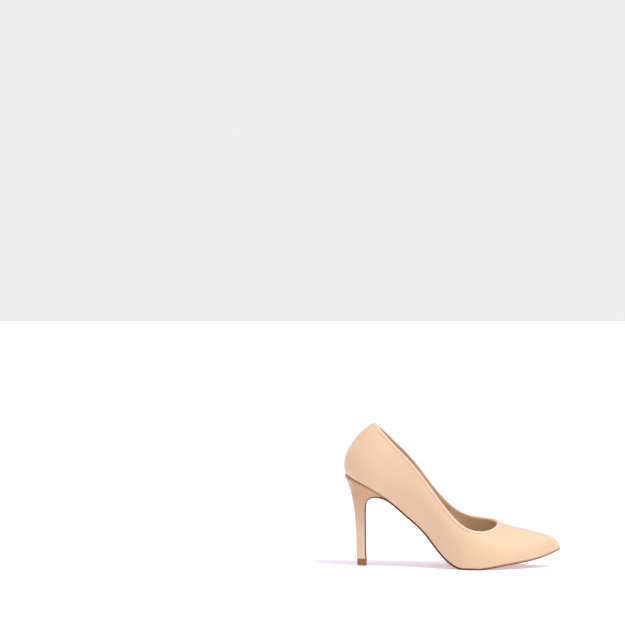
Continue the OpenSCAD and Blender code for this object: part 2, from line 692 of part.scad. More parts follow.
module heel_stem_tube() color(steel) {
    foot = tip_height + 3 * glue_gap;
    translate([tube_x, axis_y, foot]) difference() {
        cylinder(r = tube_radius, h = tube_top - foot);
        translate([0, 0, -1]) cylinder(r = tube_bore, h = tube_top - foot + 2);
    }
}

// The tip's pin stands in the bore of the tube
pin_radius = tube_bore - hole_play;
pin_bottom = 3;
pin_length = 27;
tip_back = -99.6;
module heel_tip() color(edge_brown) difference() {
    translate([tip_back * along, axis_y, 0]) linear_extrude(tip_height) {
        translate([tip_radius, 0]) circle(r = tip_radius);
        translate([tip_radius, -tip_radius]) square([tip_depth - tip_radius, 2 * tip_radius]);
    }
    translate([tube_x, axis_y, pin_bottom - hole_play])
        cylinder(r = pin_radius + hole_play, h = tip_height);
}

module heel_tip_pin() color(steel) translate([tube_x, axis_y, pin_bottom])
    cylinder(r = pin_radius, h = pin_length);

module heel_screw() color(steel) square_to_sole(screw_x, 0)
    fastener(screw_radius, screw_length, screw_head_radius, head_height);

module heel_nail() color(steel) for (p = nail_places) square_to_sole(p[0], p[1])
    fastener(nail_radius, nail_length, nail_head_radius, plate_height);

// ---- nodes ---------------------------------------------------------------------------

upper_main();
upper_inner_quarter();
topline_binding();
topline_stitching();
topline_tape();
vamp_lining();
lining_quarter_outer();
lining_quarter_inner();
heel_grip();
toe_puff();
heel_counter();
side_backer_outer();
side_backer_inner();
insock();
insock_foam();
insole_board();
shank_board();
steel_shank();
shank_rivet();
forepart_filler();
outsole();
seat_rand();
heel_core();
heel_cover();
heel_stem_tube();
heel_tip();
heel_tip_pin();
heel_screw();
heel_nail();
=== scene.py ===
"""High heel pump: detailed pieces, finishes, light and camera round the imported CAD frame."""
import math

import bmesh
import bpy
import numpy as np
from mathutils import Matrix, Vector


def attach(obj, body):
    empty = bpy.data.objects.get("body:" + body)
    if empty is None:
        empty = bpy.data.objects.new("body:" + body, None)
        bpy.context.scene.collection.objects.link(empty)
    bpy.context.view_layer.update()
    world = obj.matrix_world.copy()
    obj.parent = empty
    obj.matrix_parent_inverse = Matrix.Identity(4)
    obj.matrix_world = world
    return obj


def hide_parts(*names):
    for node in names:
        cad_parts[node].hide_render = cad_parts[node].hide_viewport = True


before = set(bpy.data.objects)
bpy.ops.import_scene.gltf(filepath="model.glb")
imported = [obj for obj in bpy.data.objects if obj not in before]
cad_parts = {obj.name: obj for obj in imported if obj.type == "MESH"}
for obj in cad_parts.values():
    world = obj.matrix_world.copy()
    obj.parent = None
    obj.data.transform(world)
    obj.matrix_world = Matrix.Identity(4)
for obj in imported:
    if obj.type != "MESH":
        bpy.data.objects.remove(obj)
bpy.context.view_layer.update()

MM = 0.001
AXIS_Y = 2.0

# The same driving sizes and tables as part.scad, in millimetres
UPPER, BACKING, LINING, GAP = 1.0, 0.5, 0.6, 0.08
MARGIN, BINDING_HEIGHT, BINDING = 8.0, 3.0, 0.3
SOLE, RAND, BOARD, FOAM, SOCK, BOARD_INSET = 1.8, 1.1, 1.8, 1.2, 0.6, 3.2
COVER, TIP_HEIGHT, TIP_RADIUS, TIP_DEPTH = 0.9, 6.9, 5.0, 9.9
STITCHES, STITCH_LENGTH, STITCH_DROP = 120, 2.4, 2.2
LINING_DEPTH = UPPER + BACKING + 2 * GAP
WALL = LINING_DEPTH + LINING
BOARD_TOP = SOLE + WALL + GAP + BOARD
FOAM_DEPTH = BOARD_TOP + GAP
SOCK_DEPTH = FOAM_DEPTH + FOAM + GAP

# Sole edge x y, topline x y z, then the wall's handles: out, up at the foot, out, down on top
STATIONS = np.array([
    [-113, 0, -82, 0, 149.7, 15, 18, 17.5, 10.5],
    [-108.4, -13.2, -79.6, -7, 147.4, 12.5, 18, 14.5, 13],
    [-96.6, -21.3, -72.5, -13.2, 140.2, 8.5, 17, 10.5, 16],
    [-82, -24.3, -60, -18.6, 126.4, 6, 16, 7.5, 17.5],
    [-64, -22.6, -41, -22.8, 107.4, 4.5, 15, 6, 17],
    [-43, -20, -20, -26, 79.8, 3.5, 14, 5, 16],
    [-22, -23.5, 1, -29.2, 52.8, 3.2, 13, 5.5, 13.5],
    [0, -34, 17.5, -28.8, 41, 3.2, 12.5, 7, 11],
    [24, -39.3, 31, -24, 38.4, 3.2, 12, 9.5, 9],
    [50, -34.5, 39.5, -17, 39.4, 3, 11.5, 13.5, 7.5],
    [74, -23.5, 44.2, -9.5, 41.4, 2.8, 11.5, 19, 8],
    [95, -12.6, 46.6, -3.5, 43.2, 2.6, 12.4, 27.5, 8.6],
    [108.6, -5.4, 47.5, 0.5, 44.5, 3.6, 14.4, 36, 10.6],
    [113.2, 0, 47.7, 3, 45.2, 5.6, 15.8, 39, 11.4],
    [108.6, 5.2, 47.4, 5.5, 45.8, 3.6, 14.4, 36, 11.6],
    [95, 12, 46.3, 9.5, 46.7, 2.6, 12.4, 27.5, 9.6],
    [74, 21, 43.7, 14.5, 47.8, 2.8, 11.5, 19, 9.5],
    [50, 29.8, 38.3, 20, 48.6, 3, 12, 13, 9],
    [26, 34.5, 28.5, 24.6, 49.4, 3, 12.5, 9, 10.5],
    [2, 28, 14, 27.4, 52.4, 3, 13, 6.5, 13],
    [-20, 18, -2, 27.6, 61.8, 3.2, 13.5, 5, 15.5],
    [-43, 16.4, -21.5, 25.3, 83.3, 3.5, 14, 4.5, 17],
    [-64, 20.6, -41.5, 22.4, 110.3, 4.5, 15, 6, 17],
    [-82, 24, -60, 18.2, 128.8, 6, 16, 7.5, 17.5],
    [-96.6, 21.3, -72.5, 13, 141.6, 8.5, 17, 10.5, 16],
    [-108.4, 13.2, -79.6, 7, 147.8, 12.5, 18, 14.5, 13],
])
N = len(STATIONS)
TOE = N / 2

# Side view of the sole's underside, x z
PROFILE = np.array([
    [-126, 100.9], [-113, 94.6], [-100, 88.1], [-87, 81.4], [-74, 73.7], [-61, 63.9],
    [-49, 53.2], [-38, 43.9], [-28.5, 34.2], [-20, 23.3], [-12, 13.6], [-4, 6.2],
    [4, 1.4], [12, -0.1], [20, -0.2], [28, -0.05], [36, 0.9], [46, 2.6],
    [58, 4.6], [70, 6.2], [82, 8], [94, 10.7], [104, 14.3], [113, 18.1],
    [126, 23],
])

# Heel rings from the seat down: back x z, front face of the flap x z, half width
HEEL = np.array([
    [-112.9, 94.6, -70.5, 70.3, 24.3], [-111.7, 91.4, -76, 72, 22.4],
    [-109.7, 87, -81.4, 71.9, 19], [-107.6, 81.5, -85.8, 70.5, 15],
    [-105.9, 75, -88.6, 67.8, 11.6], [-104.6, 68, -90, 63.6, 9],
    [-103, 59, -90.4, 56.5, 7.3], [-101.9, 47.6, -90.4, 47, 6.3],
    [-101.2, 36, -90.3, 36, 5.7], [-100.7, 24, -90.2, 24, 5.4],
    [-100.3, 14, -90, 14, 5.15], [-100, 7, -89.7, 7, 5],
])


# ---- curves shared with the CAD -----------------------------------------------------------

def unit(v):
    return v / np.linalg.norm(v, axis=-1, keepdims=True)


def basis(t):
    return np.stack([(1 - t) ** 3, 3 * t ** 3 - 6 * t * t + 4,
                     -3 * t ** 3 + 3 * t * t + 3 * t + 1, t ** 3], -1) / 6


LOOP = (8 * STATIONS - np.roll(STATIONS, 1, 0) - np.roll(STATIONS, -1, 0)) / 6


def loop_point(s):
    w = np.mod(s, N)
    i = np.floor(w).astype(int)
    rows = LOOP[(i[..., None] + np.arange(-1, 3)) % N]
    return np.einsum("...k,...kc->...c", basis(w - i), rows)


def line_controls(rows):
    wide = np.vstack([2 * rows[0] - rows[1], rows, 2 * rows[-1] - rows[-2]])
    middle = (8 * wide[1:-1] - wide[:-2] - wide[2:]) / 6
    return np.vstack([2 * middle[0] - middle[1], middle, 2 * middle[-1] - middle[-2]])


def line_point(controls, u):
    last = len(controls) - 3
    u = np.clip(u, 0, last)
    i = np.minimum(np.floor(u).astype(int), last - 1)
    rows = controls[i[..., None] + np.arange(4)]
    return np.einsum("...k,...kc->...c", basis(u - i), rows)


UNDERSIDE = line_point(line_controls(PROFILE), np.linspace(0, len(PROFILE) - 1, 600))


def sole_line(x):
    return np.interp(x, UNDERSIDE[:, 0], UNDERSIDE[:, 1])


def sole_up(x):
    slope = (sole_line(x + 1) - sole_line(x - 1)) / 2
    return unit(np.stack([-slope, 0 * slope, 1 + 0 * slope], -1))


def above_sole(xy, depth):
    x, y = xy[..., 0], xy[..., 1]
    base = np.stack([x, y, np.maximum(0, sole_line(x))], -1)
    return base + np.asarray(depth)[..., None] * sole_up(x)


def outline(s):
    return loop_point(s)[..., :2]


def plan_out(a, b):
    d = b - a
    return unit(np.stack([d[..., 1], -d[..., 0]], -1))


NUDGE = 0.15


def outline_out(s):
    return plan_out(outline(s - NUDGE), outline(s + NUDGE))


def foot_point(s):
    return above_sole(outline(s), np.full(np.shape(s), SOLE))


def top_point(s):
    return loop_point(s)[..., 2:5]


def level(v):
    return np.concatenate([v, np.zeros(v.shape[:-1] + (1,))], -1)


def rib(s):
    """The four points of the wall curve at station s, from the sole edge to the topline."""
    row = loop_point(s)
    foot, top = foot_point(s), top_point(s)
    lift = sole_up(row[..., 0])
    foot_out = level(plan_out(foot_point(s - NUDGE)[..., :2], foot_point(s + NUDGE)[..., :2]))
    top_out = level(plan_out(top_point(s - NUDGE)[..., :2], top_point(s + NUDGE)[..., :2]))
    low = foot + row[..., 5:6] * foot_out + row[..., 6:7] * lift
    high = top + row[..., 7:8] * top_out - row[..., 8:9] * lift
    return foot, low, high, top


def on_rib(r, t):
    t = np.asarray(t)[..., None]
    q = 1 - t
    return q ** 3 * r[0] + 3 * t * q * q * r[1] + 3 * t * t * q * r[2] + t ** 3 * r[3]


def rib_rise(r, t):
    t = np.asarray(t)[..., None]
    q = 1 - t
    return 3 * q * q * (r[1] - r[0]) + 6 * t * q * (r[2] - r[1]) + 3 * t * t * (r[3] - r[2])


def wall(s, t, depth):
    """Point of the wall at station s and height fraction t, `depth` mm under the outer face."""
    s, t, depth = np.broadcast_arrays(s, t, depth)
    here, before, after = rib(s), rib(s - NUDGE), rib(s + NUDGE)
    inward = unit(np.cross(rib_rise(here, t), on_rib(after, t) - on_rib(before, t)))
    return on_rib(here, t) + depth[..., None] * inward


def below_top(s, distance):
    r = rib(np.asarray(s, float))
    return 1 - distance / (3 * np.linalg.norm(r[3] - r[2], axis=-1))


def over_edge(s, depth, height):
    """Point given by its depth under the outer face and its height over the topline."""
    s, depth, height = np.broadcast_arrays(s, depth, height)
    r = rib(s)
    up = unit(r[3] - r[2])
    base = wall(s, np.minimum(1, below_top(s, np.maximum(0, -height))), depth)
    return base + np.maximum(0, height)[..., None] * up


def corner(s, depth):
    r, lift = rib(s), sole_up(loop_point(s)[..., 0])
    before, after = rib(s - NUDGE), rib(s + NUDGE)
    inward = unit(np.cross(rib_rise(r, 0.0), after[0] - before[0]))
    lean = 1 + np.sum(lift * inward, -1, keepdims=True)
    return r[0] + np.asarray(depth)[..., None] * (lift + inward) / lean


MARGIN_SHARE = np.array([[0, 1], [8, 1], [9, 0.95], [10, 0.8], [11, 0.55], [12, 0.3],
                         [14, 0.3], [15, 0.55], [16, 0.8], [17, 0.95], [18, 1], [N, 1]])


def margin_at(s):
    return MARGIN * np.interp(np.mod(s, N), MARGIN_SHARE[:, 0], MARGIN_SHARE[:, 1])


# ---- meshes -------------------------------------------------------------------------------

class Sheet:
    """Collects grids of points and welds them into one closed mesh."""

    def __init__(self):
        self.points, self.faces, self.finish = [], [], []

    def grid(self, rows, closed_i=False, closed_j=False, finish=0):
        """rows is (i, j, 3) in mm; finish is a number or an (i, j) array of slot numbers."""
        n, m = rows.shape[:2]
        start = sum(len(p) for p in self.points)
        self.points.append(rows.reshape(-1, 3))
        i = np.arange(n if closed_i else n - 1)[:, None]
        j = np.arange(m if closed_j else m - 1)[None, :]
        i2, j2 = (i + 1) % n, (j + 1) % m
        quads = np.stack([i * m + j, i * m + j2, i2 * m + j2, i2 * m + j], -1) + start
        self.faces += [list(map(int, q)) for q in quads.reshape(-1, 4)]
        slots = np.broadcast_to(finish, quads.shape[:2]).reshape(-1)
        self.finish += [int(k) for k in slots]

    def polygon(self, ring, finish=0):
        start = sum(len(p) for p in self.points)
        self.points.append(ring)
        self.faces.append(list(range(start, start + len(ring))))
        self.finish.append(finish)

    def build(self, name, materials, sharp=50, weld=0.004):
        points = np.vstack(self.points) + [0, AXIS_Y, 0]
        mesh = bpy.data.meshes.new(name)
        mesh.from_pydata((points * MM).tolist(), [], self.faces)
        for material in materials:
            mesh.materials.append(material)
        mesh.polygons.foreach_set("material_index", self.finish)
        work = bmesh.new()
        work.from_mesh(mesh)
        bmesh.ops.remove_doubles(work, verts=work.verts, dist=weld * MM)
        bmesh.ops.dissolve_degenerate(work, edges=work.edges, dist=weld * MM / 4)
        bmesh.ops.recalc_face_normals(work, faces=work.faces)
        work.to_mesh(mesh)
        work.free()
        mesh.shade_smooth()
        mesh.set_sharp_from_angle(angle=math.radians(sharp))
        piece = bpy.data.objects.new(name, mesh)
        bpy.context.collection.objects.link(piece)
        return piece


def stand_for(piece, slot, *nodes):
    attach(piece, "root")
    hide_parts(*nodes)
    return piece


def bulge(distance, radius):
    """Share of the full thickness at a distance from a rounded edge."""
    e = np.clip(distance / radius, 0, 1)
    return np.sqrt(1 - (1 - e) ** 2)


def stations(start, end, per_station=14, gap=0.003):
    """Stations with extra ones beside both ends, for the rounded seam edges."""
    a, b = start + gap, end - gap
    near = np.array([0, 0.0015, 0.005, 0.01, 0.017, 0.026])
    count = int((end - start) * per_station)
    inside = np.linspace(a + 0.06, b - 0.06, count)
    return np.concatenate([a + near, inside, (b - near)[::-1]])


def turned_layer(s, depth, thickness, edge_radius, corner_radius=0.9, rows=36,
                 end_height=0.0, rounded=True):
    """Closed solid of one layer: turned under the foot, up the wall to the topline."""
    speed = np.linalg.norm(top_point(s + 0.1) - top_point(s - 0.1), axis=-1) / 0.4 \
        + np.linalg.norm(foot_point(s + 0.1) - foot_point(s - 0.1), axis=-1) / 0.4
    near = np.minimum((s - s[0]) * speed, (s[-1] - s) * speed)
    half = thickness / 2 * (bulge(near, edge_radius) if rounded else 1)
    sides = []
    for sign in (-1, 1):
        d = (depth + thickness / 2 + sign * half)[:, None]
        col = s[:, None]
        margin = margin_at(col)
        share = corner_radius / margin
        under = [above_sole(outline(col) - k * margin[..., None] * outline_out(col), SOLE + d)
                 for k in (1.0, 0.75, 0.5, 0.3)]
        start = above_sole(outline(col) - (share * margin)[..., None] * outline_out(col),
                           SOLE + d)
        r = rib(col)
        t_low = corner_radius / (3 * np.linalg.norm(r[1] - r[0], axis=-1))
        finish = wall(col, t_low, d)
        turn = corner(col, d)
        arc = [(1 - q) ** 2 * start + 2 * q * (1 - q) * turn + q * q * finish
               for q in np.linspace(0, 1, 7)]
        t = t_low + (below_top(col, end_height) - t_low) * np.linspace(0, 1, rows)[None, 1:]
        sides.append(np.concatenate(under + arc + [wall(col, t, d)], axis=1))
    return sides


def solid_layer(name, materials, s, sides, closed=False, sharp=50):
    sheet = Sheet()
    sheet.grid(sides[0], closed_i=closed)
    sheet.grid(sides[1], closed_i=closed)
    for j in (0, -1):
        sheet.grid(np.stack([sides[0][:, j], sides[1][:, j]], 1), closed_i=closed)
    return sheet.build(name, materials, sharp)


def edge_profile(low, high, radius):
    """Inset and depth down a rounded edge, from the lower face to the upper one."""
    turn = np.radians(np.linspace(0, 90, 5))
    lower = [(radius * (1 - math.sin(a)), low + radius * (1 - math.cos(a))) for a in turn]
    upper = [(i, low + high - d) for i, d in reversed(lower)]
    return lower + [(0, (low + high) / 2)] + upper


def flat_piece(name, materials, left, right, profile, across=14, finish=(0, 0, 0, 0), caps=(),
               crown=0.0, sharp=50):
    """Solid between two long edges; left and right give edge points for inset and depth."""
    sheet = Sheet()
    for side in (left, right):
        edge = np.stack([side(i, d) for i, d in profile], 1)
        slots = np.where(np.arange(len(profile) - 1) < 5, finish[1], finish[-1])
        sheet.grid(edge, finish=slots[None, :])
    faces = []
    w = np.linspace(0, 1, across)
    for (inset, depth), slot, rise in ((profile[0], finish[0], 0), (profile[-1], finish[2], crown)):
        a, b = left(inset, depth), right(inset, depth)
        rows = (1 - w)[None, :, None] * a[:, None] + w[None, :, None] * b[:, None]
        if rise:
            width = np.linalg.norm(b - a, axis=-1)[:, None]
            swell = bulge(np.minimum(w, 1 - w)[None, :] * width, 4.0) * rise
            rows = rows + swell[..., None] * np.array([0, 0, 1])
        sheet.grid(rows, finish=slot)
        faces.append(rows)
    for end in caps:
        edge_a = np.stack([left(i, d)[end] for i, d in profile])
        edge_b = np.stack([right(i, d)[end] for i, d in profile])
        ring = np.concatenate([edge_a, faces[1][end][1:-1], edge_b[::-1],
                               faces[0][end][1:-1][::-1]])
        sheet.polygon(ring, finish[1])
    return sheet.build(name, materials, sharp)


# ---- finishes -----------------------------------------------------------------------------

def paint(red, green, blue):
    """Colour given in 0..255 screen values."""
    def linear(c):
        c = c / 255
        return c / 12.92 if c < 0.04045 else ((c + 0.055) / 1.055) ** 2.4
    return (linear(red), linear(green), linear(blue), 1)


class Finish:
    """A procedural material, measured in metres of the model."""

    def __init__(self, name, **values):
        self.material = bpy.data.materials.new(name)
        self.material.use_nodes = True
        self.tree = self.material.node_tree
        self.shader = self.tree.nodes["Principled BSDF"]
        for socket, value in values.items():
            self.shader.inputs[socket.replace("_", " ")].default_value = value
        self.place = self.node("ShaderNodeTexCoord").outputs["Object"]
        self.normal = None

    def node(self, kind, links=(), **settings):
        node = self.tree.nodes.new(kind)
        for key, value in settings.items():
            if hasattr(node, key):
                setattr(node, key, value)
            else:
                node.inputs[key.replace("_", " ")].default_value = value
        for socket, source in dict(links).items():
            self.tree.links.new(source, node.inputs[socket])
        return node

    def stretched(self, x, y, z):
        return self.node("ShaderNodeMapping", {"Vector": self.place},
                         Scale=(x, y, z)).outputs["Vector"]

    def noise(self, scale, detail=3.0, where=None):
        return self.node("ShaderNodeTexNoise", {"Vector": where or self.place},
                         Scale=scale, Detail=detail).outputs["Fac"]

    def cells(self, scale, feature="F1", where=None):
        return self.node("ShaderNodeTexVoronoi", {"Vector": where or self.place},
                         feature=feature, Scale=scale).outputs["Distance"]

    def bands(self, scale, direction="Z", distortion=0.0, where=None):
        return self.node("ShaderNodeTexWave", {"Vector": where or self.place},
                         bands_direction=direction, Scale=scale, Distortion=distortion,
                         Detail=2.0).outputs["Fac"]

    def axis(self, name):
        return self.node("ShaderNodeSeparateXYZ", {"Vector": self.place}).outputs[name]

    def span(self, value, low, high, start=0.3, end=0.7):
        return self.node("ShaderNodeMapRange", {"Value": value}, From_Min=start, From_Max=end,
                         To_Min=low, To_Max=high).outputs["Result"]

    def maths(self, operation, a, b=0.0):
        node = self.node("ShaderNodeMath", operation=operation)
        for socket, value in zip(node.inputs, (a, b)):
            if isinstance(value, (int, float)):
                socket.default_value = value
            else:
                self.tree.links.new(value, socket)
        return node.outputs[0]

    def blend(self, factor, a, b):
        node = self.node("ShaderNodeMix", data_type="RGBA")
        factor_in, first, second = node.inputs[0], node.inputs[6], node.inputs[7]
        self.tree.links.new(factor, factor_in)
        for socket, value in ((first, a), (second, b)):
            if isinstance(value, tuple):
                socket.default_value = value
            else:
                self.tree.links.new(value, socket)
        return node.outputs[2]

    def colour(self, source):
        self.tree.links.new(source, self.shader.inputs["Base Color"])
        return self

    def rough(self, source, low, high):
        self.tree.links.new(self.span(source, low, high), self.shader.inputs["Roughness"])
        return self

    def bump(self, height, depth_mm, strength=1.0):
        links = {"Height": height}
        if self.normal:
            links["Normal"] = self.normal
        self.normal = self.node("ShaderNodeBump", links, Strength=strength,
                                Distance=depth_mm * MM).outputs["Normal"]
        self.tree.links.new(self.normal, self.shader.inputs["Normal"])
        return self


def leather(name, main, deep, light, rough=(0.46, 0.56), grain=0.018, sheen=0.25, shade=None):
    """Fine matte leatherette: faint clouding, pores and a soft nap; `shade` is a deeper tone,
    painted shade that darkens the wrap of the heel towards the seat, in place of the shade there."""
    f = Finish(name, Sheen_Weight=sheen, Sheen_Roughness=0.45, Sheen_Tint=(1, 0.98, 0.92, 1),
               Specular_IOR_Level=0.45)
    cloud = f.noise(34, 4)
    speck = f.noise(2600, 2)
    pores = f.cells(1700)
    toned = f.blend(f.span(cloud, 0, 0.45), main, deep)
    toned = f.blend(f.span(speck, 0, 0.3, 0.35, 0.75), toned, light)
    toned = f.blend(f.span(pores, 0.35, 0, 0.0, 0.16), toned, deep)
    # Painted shade: a deeper tone blended in by height, darkest at the top of the heel under the seat.
    if shade:
        toned = f.blend(f.span(f.axis("Z"), 0, 0.95, 0.034, 0.076), toned, shade)
    f.colour(toned).rough(f.noise(260, 3), *rough)
    f.bump(f.noise(90, 2), 0.05, 0.25).bump(pores, grain).bump(speck, grain / 2)
    return f.material


def suede(name, main, deep, light):
    f = Finish(name, Sheen_Weight=0.6, Sheen_Roughness=0.5, Sheen_Tint=light,
               Specular_IOR_Level=0.2)
    nap = f.noise(900, 6)
    fibre = f.noise(3800, 3, f.stretched(1, 1, 0.35))
    patch = f.noise(60, 3)
    toned = f.blend(f.span(nap, 0, 0.8), main, deep)
    toned = f.blend(f.span(patch, 0, 0.5, 0.4, 0.7), toned, light)
    f.colour(toned).rough(nap, 0.78, 0.95).bump(nap, 0.06).bump(fibre, 0.03)
    return f.material


def weave(name, main, deep, pitch_mm, depth=0.05):
    """Plain woven tape or backing cloth."""
    f = Finish(name, Sheen_Weight=0.3, Specular_IOR_Level=0.25)
    scale = 2 * math.pi / pitch_mm / MM / 20
    over = f.bands(scale, "X", 0.6)
    under = f.bands(scale, "Z", 0.6)
    cross = f.maths("MULTIPLY", over, under)
    fuzz = f.noise(3000, 3)
    toned = f.blend(f.span(cross, 0, 0.9, 0.1, 0.7), deep, main)
    toned = f.blend(f.span(fuzz, 0, 0.3), toned, deep)
    f.colour(toned).rough(fuzz, 0.75, 0.92).bump(cross, depth).bump(fuzz, 0.02)
    return f.material


def fibre_board(name, main, deep, light):
    f = Finish(name, Specular_IOR_Level=0.25)
    strands = f.noise(520, 6, f.stretched(0.35, 1, 1))
    flecks = f.cells(420, "F1", f.stretched(0.5, 1, 1))
    toned = f.blend(f.span(strands, 0, 0.9), main, deep)
    toned = f.blend(f.span(flecks, 0.6, 0, 0.05, 0.35), toned, light)
    f.colour(toned).rough(strands, 0.7, 0.9).bump(strands, 0.06).bump(flecks, 0.03)
    return f.material


def foam_finish(name, main, deep):
    f = Finish(name, Subsurface_Weight=0.1, Subsurface_Scale=0.002)
    bubbles = f.cells(1500)
    fine = f.noise(4000, 2)
    toned = f.blend(f.span(bubbles, 0.8, 0, 0.05, 0.45), main, deep)
    f.colour(toned).rough(fine, 0.8, 0.95).bump(bubbles, 0.12).bump(fine, 0.03)
    return f.material


def cork(name, main, deep, light):
    f = Finish(name, Specular_IOR_Level=0.3)
    grains = f.cells(700)
    gaps = f.cells(700, "DISTANCE_TO_EDGE")
    toned = f.blend(f.span(f.noise(700, 2), 0, 1), main, light)
    toned = f.blend(f.span(gaps, 1, 0, 0.0, 0.12), toned, deep)
    f.colour(toned).rough(grains, 0.7, 0.92).bump(gaps, 0.08).bump(f.noise(2500, 3), 0.03)
    return f.material


def metal(name, main, deep, stretch):
    f = Finish(name, Metallic=1.0)
    lines = f.noise(1800, 4, f.stretched(*stretch))
    stain = f.noise(140, 4)
    toned = f.blend(f.span(stain, 0, 0.7, 0.42, 0.7), main, deep)
    f.colour(toned).rough(lines, 0.24, 0.46).bump(lines, 0.01)
    return f.material


def moulded(name, main, deep, rough, mark_mm=0.02):
    """Injected plastic: faint flow lines and fine mould texture."""
    f = Finish(name, Specular_IOR_Level=0.45)
    flow = f.noise(120, 3, f.stretched(1, 1, 0.3))
    fine = f.noise(3200, 2)
    toned = f.blend(f.span(flow, 0, 0.8), main, deep)
    f.colour(toned).rough(flow, *rough).bump(fine, mark_mm).bump(flow, 0.03, 0.4)
    return f.material


def sole_under_finish(name):
    """Smooth resin sole: long grain, and light scuffs where the tread meets the ground."""
    f = Finish(name, Specular_IOR_Level=0.4)
    grain = f.noise(900, 4, f.stretched(0.2, 1, 1))
    cloud = f.noise(45, 4)
    toned = f.blend(f.span(cloud, 0, 0.6), paint(214, 171, 146), paint(196, 151, 127))
    toned = f.blend(f.span(grain, 0, 0.35), toned, paint(182, 138, 114))
    reach = f.span(f.axis("X"), 0, 1, -0.012, 0.004)
    leave = f.span(f.axis("X"), 1, 0, 0.034, 0.058)
    low = f.span(f.axis("Z"), 1, 0, 0.0004, 0.0032)
    zone = f.maths("MULTIPLY", f.maths("MULTIPLY", reach, leave), low)
    scratches = f.noise(420, 5, f.stretched(0.15, 1, 1))
    scuff = f.maths("MULTIPLY", zone, f.span(scratches, 0, 0.8, 0.5, 0.62))
    toned = f.blend(scuff, toned, paint(150, 121, 104))
    f.colour(toned).rough(f.maths("ADD", grain, f.maths("MULTIPLY", scuff, 0.3)), 0.34, 0.6)
    f.bump(grain, 0.03).bump(scratches, 0.02, 0.4)
    return f.material


def edge_paint_finish(name, main, deep, worn, forepart=None):
    """Edge dye on the cut sole: slightly glossy, thin in places, paler along the forepart."""
    f = Finish(name, Specular_IOR_Level=0.3)
    streaks = f.noise(700, 4, f.stretched(0.25, 0.25, 1))
    thin = f.noise(160, 5)
    toned = f.blend(f.span(streaks, 0, 0.8), main, deep)
    toned = f.blend(f.span(thin, 0, 0.55, 0.55, 0.75), toned, worn)
    if forepart:
        toned = f.blend(f.span(f.axis("X"), 0, 0.85, 0.015, 0.05), toned, forepart)
    f.colour(toned).rough(streaks, 0.32, 0.5).bump(streaks, 0.03).bump(thin, 0.02)
    return f.material


def thread_finish(name, main, deep):
    f = Finish(name, Sheen_Weight=0.4, Sheen_Roughness=0.4, Specular_IOR_Level=0.3)
    twist = f.bands(560, "DIAGONAL", 0.3)
    fuzz = f.noise(4200, 2)
    toned = f.blend(f.span(twist, 0, 0.7, 0.1, 0.8), main, deep)
    f.colour(toned).rough(fuzz, 0.55, 0.75).bump(twist, 0.05).bump(fuzz, 0.02)
    return f.material


def tip_finish(name):
    """Hard polyurethane top piece with a rubbed grey walking edge."""
    f = Finish(name, Specular_IOR_Level=0.4)
    grit = f.noise(2400, 3)
    cloud = f.noise(300, 3)
    toned = f.blend(f.span(cloud, 0, 0.8), paint(158, 108, 66), paint(138, 92, 55))
    rub = f.span(f.axis("Z"), 1, 0, 0.0, 0.0016)
    rub = f.maths("MULTIPLY", rub, f.span(f.noise(900, 4), 0.2, 0.9))
    toned = f.blend(rub, toned, paint(150, 138, 128))
    f.colour(toned).rough(grit, 0.42, 0.6).bump(grit, 0.02)
    return f.material


NUDE = leather("nude_leatherette", paint(223, 189, 153), paint(213, 176, 139),
               paint(238, 207, 177), rough=(0.52, 0.64), sheen=0.7)
# The heel wrap's deeper tone, paint(190, 146, 108), is painted shade towards the seat.
NUDE_HEEL = leather("nude_heel_wrap", paint(231, 198, 162), paint(221, 185, 149),
                    paint(233, 204, 174), rough=(0.36, 0.46), sheen=0.15,
                    shade=paint(190, 146, 108))
# The folded edge strip is the upper's leather in a lighter tone: a painted highlight along the topline,
# where the rounded fold meets the light.
EDGE_STRIP_PAINTED_HIGHLIGHT = leather("nude_edge_strip_painted_highlight", paint(236, 203, 171), paint(226, 189, 156),
                     paint(244, 216, 188), rough=(0.4, 0.5), grain=0.012)
LINING_SKIN = leather("lining_leather", paint(219, 196, 168), paint(204, 178, 148),
                      paint(230, 211, 188), rough=(0.5, 0.64), grain=0.03)
SOCK_SKIN = leather("sock_leather", paint(214, 188, 158), paint(199, 171, 140),
                    paint(226, 205, 180), rough=(0.48, 0.6), grain=0.03)
GRIP = suede("heel_grip_suede", paint(196, 166, 134), paint(174, 143, 112), paint(212, 187, 158))
THREAD = thread_finish("thread_tan", paint(216, 178, 143), paint(186, 147, 114))
SEAM_THREAD = thread_finish("thread_lining", paint(206, 180, 150), paint(178, 150, 121))
SOLE_UNDER = sole_under_finish("sole_underside")
# Dark edge dye for the lower half of the sole edge; along the forepart, where the upper half is paler,
# this dark strip is painted shadow under the edge.
SOLE_EDGE_DYE_AND_PAINTED_SHADE = edge_paint_finish("sole_edge_dye_and_painted_shade", paint(88, 56, 34), paint(60, 36, 22),
                              paint(122, 84, 54))
SOLE_BAND = edge_paint_finish("sole_edge_band", paint(96, 62, 38), paint(66, 42, 26),
                              paint(128, 90, 60), paint(178, 130, 88))
RAND_EDGE = edge_paint_finish("rand_edge_dye", paint(184, 141, 108), paint(156, 114, 84),
                              paint(204, 164, 132))
TIP = tip_finish("heel_tip_resin")
FOAM_FINISH = foam_finish("sock_foam", paint(232, 219, 196), paint(205, 188, 160))
